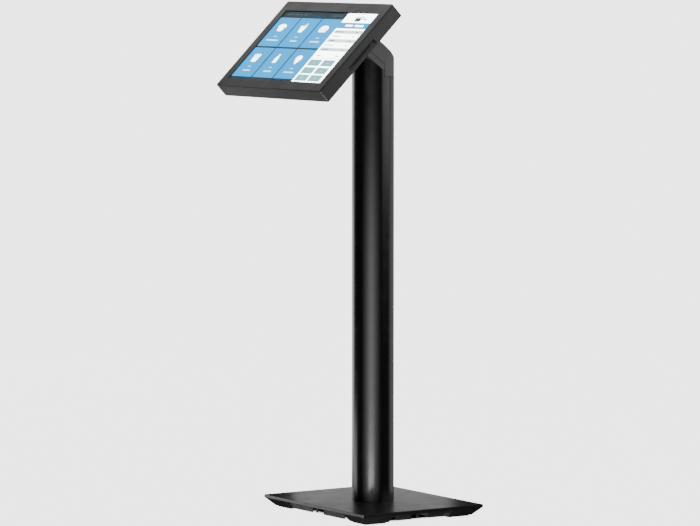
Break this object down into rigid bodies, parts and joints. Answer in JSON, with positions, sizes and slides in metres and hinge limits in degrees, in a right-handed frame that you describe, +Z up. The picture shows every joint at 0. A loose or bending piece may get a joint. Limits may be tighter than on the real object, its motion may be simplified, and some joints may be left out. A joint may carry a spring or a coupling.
{
  "type": "card payment kiosk",
  "caption": "Floor-standing touch kiosk with a tilting display head on an angled neck, a round column and a flat floor plate; a card slot in the side of the head.",
  "frame": {"origin": "on the floor, under the middle of the column and of the floor plate", "axes": "+Z up; the screen looks towards -Y and up; +X is the side with the card slot"},
  "size_m": [0.389, 0.3999, 1.0379],
  "materials": {
    "plate_paint": "semi-gloss black powder coat",
    "column_paint": "satin black powder coat",
    "neck_plastic": "fine-textured satin black moulding",
    "head_plastic": "fine-textured satin charcoal moulding",
    "base_plastic": "textured black moulding",
    "pad_rubber": "matt black rubber",
    "fastener_steel": "zinc-plated",
    "black_screw": "black oxide",
    "bracket_steel": "bright zinc-plated sheet and bar",
    "block_aluminium": "as cast and machined",
    "display_glass": "chemically strengthened, anti-glare",
    "display_panel": null,
    "foam": "black foam tape",
    "circuit_board": "green solder mask",
    "port_metal": "nickel-plated shells",
    "inner_plastic": "black engineering plastic",
    "connector_plastic": "natural nylon",
    "lead_jacket": "black vinyl jacket"
  },
  "bodies": {
    "stand": {"base_plate": "plate_paint", "base_skirt": "base_plastic", "foot_front_left": "base_plastic", "foot_front_right": "base_plastic", "foot_rear_right": "base_plastic", "foot_rear_left": "base_plastic", "foot_pads": "pad_rubber", "foot_screws": "fastener_steel", "skirt_screws": "fastener_steel", "column_tube": "column_paint", "column_plug": "block_aluminium", "column_bolts": "fastener_steel", "column_screws": "black_screw", "supply_bracket": "bracket_steel", "power_supply": "inner_plastic", "mains_inlet": "inner_plastic", "power_lead": "lead_jacket", "lead_connector": "connector_plastic", "neck_block": "block_aluminium", "neck_frame": "bracket_steel", "neck_bolts": "fastener_steel", "neck_chin": "neck_plastic", "neck_hood": "neck_plastic"},
    "head": {"tilt_pin": "fastener_steel", "tilt_washers": "fastener_steel", "tilt_nuts": "fastener_steel", "tilt_bracket": "bracket_steel", "bracket_screws": "fastener_steel", "tilt_cover": "neck_plastic", "rear_cover": "head_plastic", "port_cover": "head_plastic", "cover_screws": "black_screw", "front_bezel": "head_plastic", "glass_gasket": "foam", "touch_glass": "display_glass", "lcd_panel": "display_panel", "chassis": "bracket_steel", "mainboard": "circuit_board", "heat_sink": "block_aluminium", "storage_card": "circuit_board", "port_block": "port_metal", "speakers": "inner_plastic", "contactless_antenna": "circuit_board", "head_lead": "lead_jacket", "button_spring": "fastener_steel", "button_switch": "inner_plastic", "reader_mouth": "inner_plastic", "reader_body": "inner_plastic", "head_spring": "fastener_steel", "reader_board": "circuit_board"},
    "power_button": {"power_button": "inner_plastic"},
    "reading_head": {"magnetic_head": "fastener_steel"}
  },
  "joints": [
    {"name": "head_tilt", "type": "hinge", "parent": "stand", "child": "head", "pos_m": [0, -0.06379, 0.97494], "axis": [1, 0, 0], "range_deg": [-15, 25]},
    {"name": "button_press", "type": "slide", "parent": "head", "child": "power_button", "axis": [1, 0, 0], "range_m": [0, 0.0012], "stiffness_N_per_m": 400, "springref_m": -0.001, "deforming": ["button_spring"]},
    {"name": "reading_head_lift", "type": "slide", "parent": "head", "child": "reading_head", "axis": [0, -0.6972, 0.7169], "range_m": [0, 0.0009], "stiffness_N_per_m": 600, "springref_m": -0.0004, "deforming": ["head_spring"]}
  ]
}
